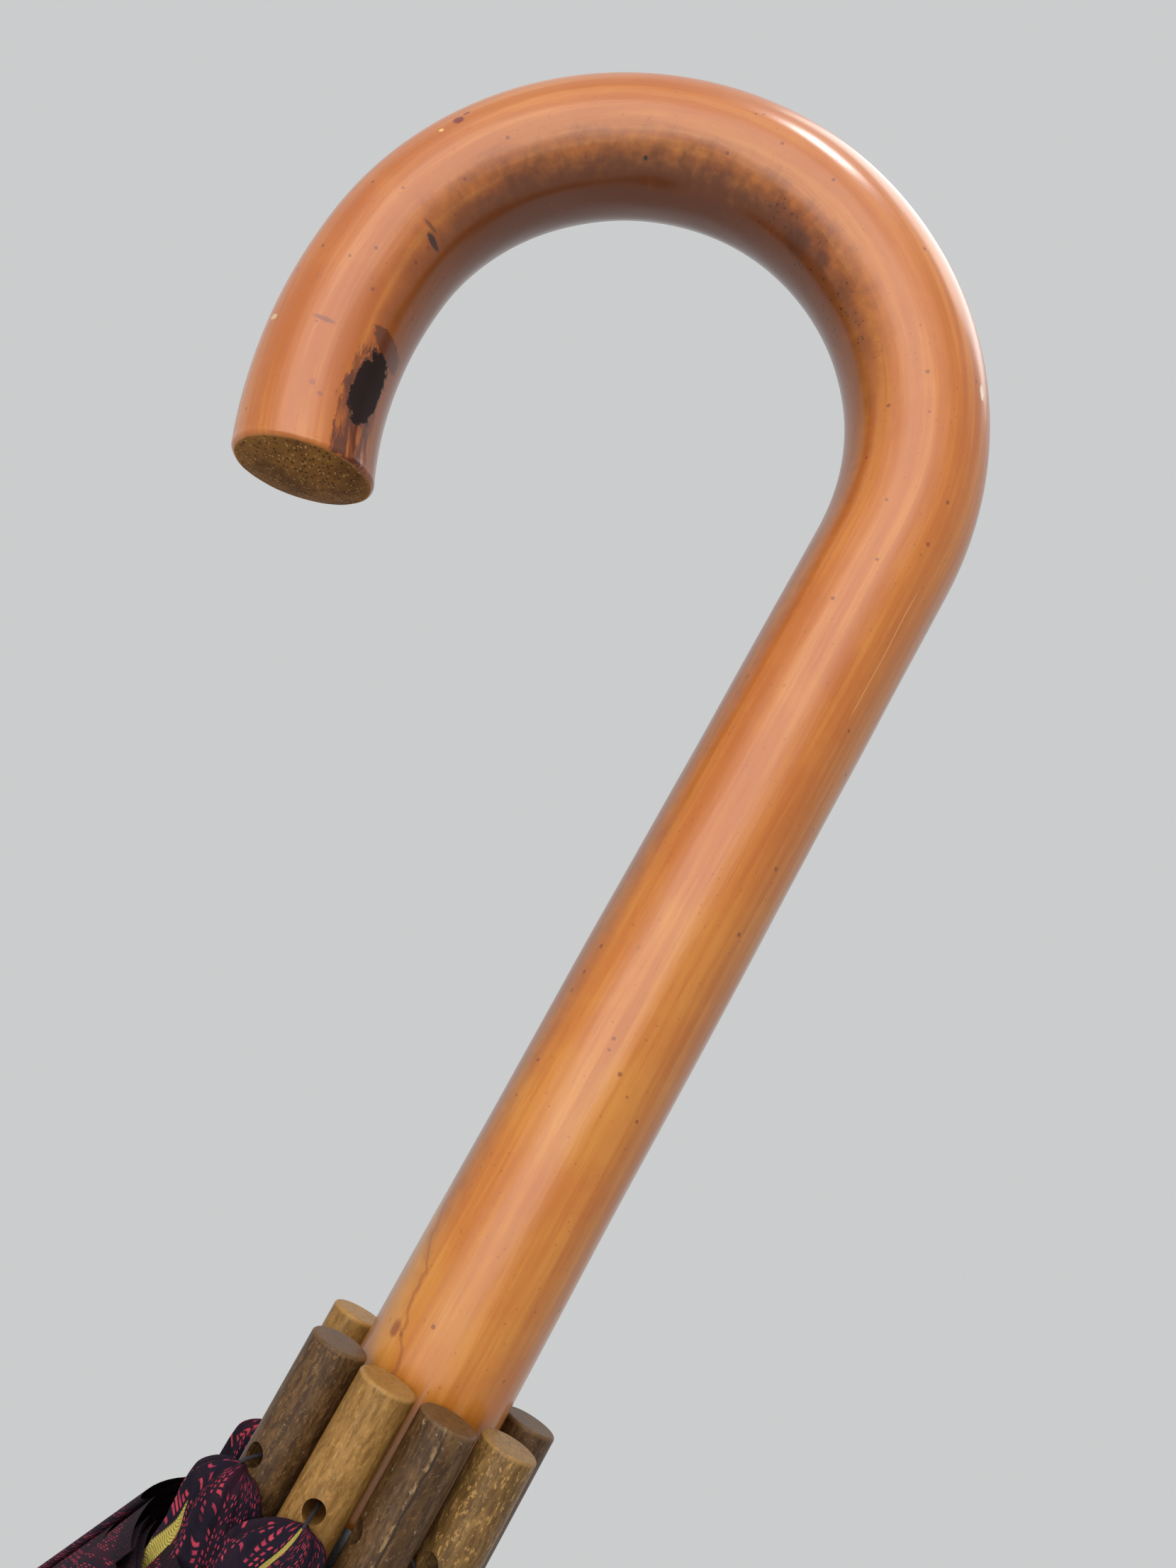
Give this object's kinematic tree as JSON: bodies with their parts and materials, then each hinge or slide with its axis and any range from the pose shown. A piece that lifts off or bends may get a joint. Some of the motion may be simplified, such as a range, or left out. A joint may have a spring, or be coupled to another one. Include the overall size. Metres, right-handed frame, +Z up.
{
  "type": "stick umbrella",
  "caption": "Closed stick umbrella: bent cane crook handle, wooden rib tips round its foot, steel ribs and stretchers on a sliding runner, folded dark cloth canopy.",
  "frame": {"origin": "on the shaft's axis where the straight grip meets the bend of the crook; the grip is how the umbrella is held", "axes": "+Z runs up the shaft from the ferrule towards the crook, the crook turns towards -X, and the pictured side faces -Y"},
  "size_m": [0.1659, 0.0985, 0.872],
  "materials": {
    "cane": "lacquered cane, orange-brown",
    "tip_wood": "stained wood, light wear at the ends",
    "steel": "drawn steel tube",
    "rib_steel": "black-enamelled steel channel",
    "collar": "black moulded collars",
    "spring_steel": "spring steel and wire",
    "canopy_cloth": "dark woven cloth with small red flecks",
    "ferrule_wood": "turned dark wood",
    "ferrule_metal": "worn brass end"
  },
  "bodies": {
    "umbrella_stick": {"crook_handle": "cane", "shaft": "steel", "runner_stop_pin": "spring_steel", "top_notch": "collar", "notch_ring": "spring_steel", "outer_rosette": "canopy_cloth", "ferrule_cap": "collar", "ferrule": "ferrule_wood", "ferrule_tip": "ferrule_metal"},
    "runner_slider": {"runner": "collar", "runner_ring": "spring_steel"},
    "hand_catch": {"hand_spring": "spring_steel"},
    "top_catch": {"top_spring": "spring_steel"},
    "rib_arm_1": {"rib_1": "rib_steel", "rib_tip_1": "tip_wood", "joint_pin_1": "spring_steel"},
    "stretcher_arm_1": {"stretcher_1": "rib_steel"},
    "gore_1": {"canopy_panel_1": "canopy_cloth"},
    "rib_arm_2": {"rib_2": "rib_steel", "rib_tip_2": "tip_wood", "joint_pin_2": "spring_steel"},
    "stretcher_arm_2": {"stretcher_2": "rib_steel"},
    "gore_2": {"canopy_panel_2": "canopy_cloth"},
    "rib_arm_3": {"rib_3": "rib_steel", "rib_tip_3": "tip_wood", "joint_pin_3": "spring_steel"},
    "stretcher_arm_3": {"stretcher_3": "rib_steel"},
    "gore_3": {"canopy_panel_3": "canopy_cloth"},
    "rib_arm_4": {"rib_4": "rib_steel", "rib_tip_4": "tip_wood", "joint_pin_4": "spring_steel"},
    "stretcher_arm_4": {"stretcher_4": "rib_steel"},
    "gore_4": {"canopy_panel_4": "canopy_cloth", "tie_band": "canopy_cloth", "band_snap": "ferrule_metal"},
    "rib_arm_5": {"rib_5": "rib_steel", "rib_tip_5": "tip_wood", "joint_pin_5": "spring_steel"},
    "stretcher_arm_5": {"stretcher_5": "rib_steel"},
    "gore_5": {"canopy_panel_5": "canopy_cloth"},
    "rib_arm_6": {"rib_6": "rib_steel", "rib_tip_6": "tip_wood", "joint_pin_6": "spring_steel"},
    "stretcher_arm_6": {"stretcher_6": "rib_steel"},
    "gore_6": {"canopy_panel_6": "canopy_cloth"},
    "rib_arm_7": {"rib_7": "rib_steel", "rib_tip_7": "tip_wood", "joint_pin_7": "spring_steel"},
    "stretcher_arm_7": {"stretcher_7": "rib_steel"},
    "gore_7": {"canopy_panel_7": "canopy_cloth"},
    "rib_arm_8": {"rib_8": "rib_steel", "rib_tip_8": "tip_wood", "joint_pin_8": "spring_steel"},
    "stretcher_arm_8": {"stretcher_8": "rib_steel"},
    "gore_8": {"canopy_panel_8": "canopy_cloth"}
  },
  "joints": [
    {"name": "runner_slide", "type": "slide", "parent": "umbrella_stick", "child": "runner_slider", "axis": [0, 0, -1], "range_m": [0, 0.3178], "deforming": ["canopy_panel_1", "canopy_panel_2", "canopy_panel_3", "canopy_panel_4", "canopy_panel_5", "canopy_panel_6", "canopy_panel_7", "canopy_panel_8", "tie_band", "band_snap", "hand_spring", "top_spring"]},
    {"name": "hand_spring_press", "type": "hinge", "parent": "umbrella_stick", "child": "hand_catch", "pos_m": [-0.0041, 0, -0.2425], "axis": [0, -1, 0], "range_deg": [0, 7.6], "stiffness_Nm_per_rad": 0.05},
    {"name": "top_spring_press", "type": "hinge", "parent": "umbrella_stick", "child": "top_catch", "pos_m": [-0.0041, 0, -0.4899], "axis": [0, 1, 0], "range_deg": [0, 7.6], "stiffness_Nm_per_rad": 0.05},
    {"name": "rib_1_swing", "type": "hinge", "parent": "umbrella_stick", "child": "rib_arm_1", "pos_m": [0.00795, 0.00329, -0.70145], "axis": [-0.3827, 0.9239, 0], "range_deg": [0, 71.21]},
    {"name": "stretcher_1_fold", "type": "hinge", "parent": "rib_arm_1", "child": "stretcher_arm_1", "pos_m": [0.0109, 0.00451, -0.47147], "axis": [0.3827, -0.9239, 0], "range_deg": [0, 142.41]},
    {"name": "gore_1_spread", "type": "hinge", "parent": "rib_arm_1", "child": "gore_1", "pos_m": [0.002, 0.002, -0.70573], "axis": [-0.5898, -0.5898, -0.5517], "range_deg": [0, 51.49]},
    {"name": "rib_2_swing", "type": "hinge", "parent": "umbrella_stick", "child": "rib_arm_2", "pos_m": [0.00329, 0.00795, -0.70145], "axis": [-0.9239, 0.3827, 0], "range_deg": [0, 71.21]},
    {"name": "stretcher_2_fold", "type": "hinge", "parent": "rib_arm_2", "child": "stretcher_arm_2", "pos_m": [0.00451, 0.0109, -0.47147], "axis": [0.9239, -0.3827, 0], "range_deg": [0, 142.41]},
    {"name": "gore_2_spread", "type": "hinge", "parent": "rib_arm_2", "child": "gore_2", "pos_m": [0, 0.00283, -0.70573], "axis": [0, -0.834, -0.5517], "range_deg": [0, 51.49]},
    {"name": "rib_3_swing", "type": "hinge", "parent": "umbrella_stick", "child": "rib_arm_3", "pos_m": [-0.00329, 0.00795, -0.70145], "axis": [-0.9239, -0.3827, 0], "range_deg": [0, 71.21]},
    {"name": "stretcher_3_fold", "type": "hinge", "parent": "rib_arm_3", "child": "stretcher_arm_3", "pos_m": [-0.00451, 0.0109, -0.47147], "axis": [0.9239, 0.3827, 0], "range_deg": [0, 142.41]},
    {"name": "gore_3_spread", "type": "hinge", "parent": "rib_arm_3", "child": "gore_3", "pos_m": [-0.002, 0.002, -0.70573], "axis": [0.5898, -0.5898, -0.5517], "range_deg": [0, 51.49]},
    {"name": "rib_4_swing", "type": "hinge", "parent": "umbrella_stick", "child": "rib_arm_4", "pos_m": [-0.00795, 0.00329, -0.70145], "axis": [-0.3827, -0.9239, 0], "range_deg": [0, 71.21]},
    {"name": "stretcher_4_fold", "type": "hinge", "parent": "rib_arm_4", "child": "stretcher_arm_4", "pos_m": [-0.0109, 0.00451, -0.47147], "axis": [0.3827, 0.9239, 0], "range_deg": [0, 142.41]},
    {"name": "gore_4_spread", "type": "hinge", "parent": "rib_arm_4", "child": "gore_4", "pos_m": [-0.00283, 0, -0.70573], "axis": [0.834, 0, -0.5517], "range_deg": [0, 51.49]},
    {"name": "rib_5_swing", "type": "hinge", "parent": "umbrella_stick", "child": "rib_arm_5", "pos_m": [-0.00795, -0.00329, -0.70145], "axis": [0.3827, -0.9239, 0], "range_deg": [0, 71.21]},
    {"name": "stretcher_5_fold", "type": "hinge", "parent": "rib_arm_5", "child": "stretcher_arm_5", "pos_m": [-0.0109, -0.00451, -0.47147], "axis": [-0.3827, 0.9239, 0], "range_deg": [0, 142.41]},
    {"name": "gore_5_spread", "type": "hinge", "parent": "rib_arm_5", "child": "gore_5", "pos_m": [-0.002, -0.002, -0.70573], "axis": [0.5898, 0.5898, -0.5517], "range_deg": [0, 51.49]},
    {"name": "rib_6_swing", "type": "hinge", "parent": "umbrella_stick", "child": "rib_arm_6", "pos_m": [-0.00329, -0.00795, -0.70145], "axis": [0.9239, -0.3827, 0], "range_deg": [0, 71.21]},
    {"name": "stretcher_6_fold", "type": "hinge", "parent": "rib_arm_6", "child": "stretcher_arm_6", "pos_m": [-0.00451, -0.0109, -0.47147], "axis": [-0.9239, 0.3827, 0], "range_deg": [0, 142.41]},
    {"name": "gore_6_spread", "type": "hinge", "parent": "rib_arm_6", "child": "gore_6", "pos_m": [0, -0.00283, -0.70573], "axis": [0, 0.834, -0.5517], "range_deg": [0, 51.49]},
    {"name": "rib_7_swing", "type": "hinge", "parent": "umbrella_stick", "child": "rib_arm_7", "pos_m": [0.00329, -0.00795, -0.70145], "axis": [0.9239, 0.3827, 0], "range_deg": [0, 71.21]},
    {"name": "stretcher_7_fold", "type": "hinge", "parent": "rib_arm_7", "child": "stretcher_arm_7", "pos_m": [0.00451, -0.0109, -0.47147], "axis": [-0.9239, -0.3827, 0], "range_deg": [0, 142.41]},
    {"name": "gore_7_spread", "type": "hinge", "parent": "rib_arm_7", "child": "gore_7", "pos_m": [0.002, -0.002, -0.70573], "axis": [-0.5898, 0.5898, -0.5517], "range_deg": [0, 51.49]},
    {"name": "rib_8_swing", "type": "hinge", "parent": "umbrella_stick", "child": "rib_arm_8", "pos_m": [0.00795, -0.00329, -0.70145], "axis": [0.3827, 0.9239, 0], "range_deg": [0, 71.21]},
    {"name": "stretcher_8_fold", "type": "hinge", "parent": "rib_arm_8", "child": "stretcher_arm_8", "pos_m": [0.0109, -0.00451, -0.47147], "axis": [-0.3827, -0.9239, 0], "range_deg": [0, 142.41]},
    {"name": "gore_8_spread", "type": "hinge", "parent": "rib_arm_8", "child": "gore_8", "pos_m": [0.00283, 0, -0.70573], "axis": [-0.834, 0, -0.5517], "range_deg": [0, 51.49]}
  ],
  "couplings": [
    {"joint": "rib_1_swing", "follows": "runner_slide", "rad_per_m": 3.9105},
    {"joint": "stretcher_1_fold", "follows": "runner_slide", "rad_per_m": 7.8209},
    {"joint": "gore_1_spread", "follows": "runner_slide", "rad_per_m": 2.8278},
    {"joint": "rib_2_swing", "follows": "runner_slide", "rad_per_m": 3.9105},
    {"joint": "stretcher_2_fold", "follows": "runner_slide", "rad_per_m": 7.8209},
    {"joint": "gore_2_spread", "follows": "runner_slide", "rad_per_m": 2.8278},
    {"joint": "rib_3_swing", "follows": "runner_slide", "rad_per_m": 3.9105},
    {"joint": "stretcher_3_fold", "follows": "runner_slide", "rad_per_m": 7.8209},
    {"joint": "gore_3_spread", "follows": "runner_slide", "rad_per_m": 2.8278},
    {"joint": "rib_4_swing", "follows": "runner_slide", "rad_per_m": 3.9105},
    {"joint": "stretcher_4_fold", "follows": "runner_slide", "rad_per_m": 7.8209},
    {"joint": "gore_4_spread", "follows": "runner_slide", "rad_per_m": 2.8278},
    {"joint": "rib_5_swing", "follows": "runner_slide", "rad_per_m": 3.9105},
    {"joint": "stretcher_5_fold", "follows": "runner_slide", "rad_per_m": 7.8209},
    {"joint": "gore_5_spread", "follows": "runner_slide", "rad_per_m": 2.8278},
    {"joint": "rib_6_swing", "follows": "runner_slide", "rad_per_m": 3.9105},
    {"joint": "stretcher_6_fold", "follows": "runner_slide", "rad_per_m": 7.8209},
    {"joint": "gore_6_spread", "follows": "runner_slide", "rad_per_m": 2.8278},
    {"joint": "rib_7_swing", "follows": "runner_slide", "rad_per_m": 3.9105},
    {"joint": "stretcher_7_fold", "follows": "runner_slide", "rad_per_m": 7.8209},
    {"joint": "gore_7_spread", "follows": "runner_slide", "rad_per_m": 2.8278},
    {"joint": "rib_8_swing", "follows": "runner_slide", "rad_per_m": 3.9105},
    {"joint": "stretcher_8_fold", "follows": "runner_slide", "rad_per_m": 7.8209},
    {"joint": "gore_8_spread", "follows": "runner_slide", "rad_per_m": 2.8278}
  ]
}
